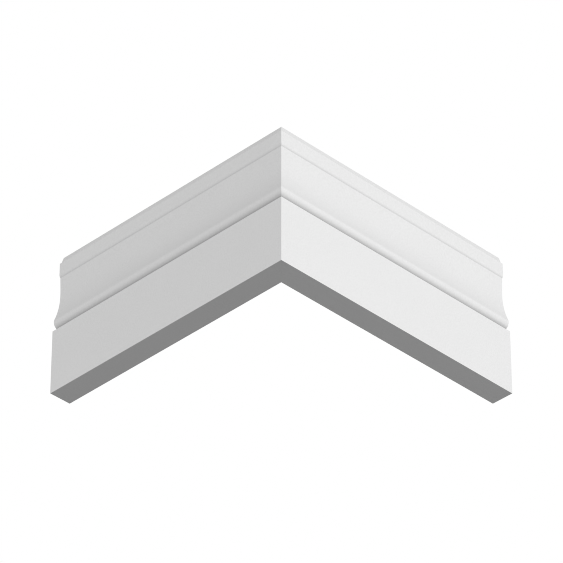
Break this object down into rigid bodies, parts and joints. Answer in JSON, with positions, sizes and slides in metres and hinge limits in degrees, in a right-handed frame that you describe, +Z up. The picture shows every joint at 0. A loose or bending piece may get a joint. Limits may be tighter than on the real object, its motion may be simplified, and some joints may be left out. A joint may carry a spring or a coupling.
{
  "type": "skirting board corner",
  "caption": "White moulded skirting board mitred round an outside wall corner: plain plinth, bead, shallow cove, rounded band and splayed top.",
  "frame": {"origin": "the foot of the wall's outside corner: the upright line where the two backs meet, at floor level", "axes": "+Z up; the right board runs along +X with its back on y = 0, the left board along +Y with its back on x = 0"},
  "size_m": [0.2472, 0.2472, 0.13],
  "materials": {
    "moulding": "extruded high-density polystyrene, white all through, smooth matt skin, sawn ends"
  },
  "bodies": {
    "root": {"right_board": "moulding", "left_board": "moulding"}
  },
  "joints": []
}
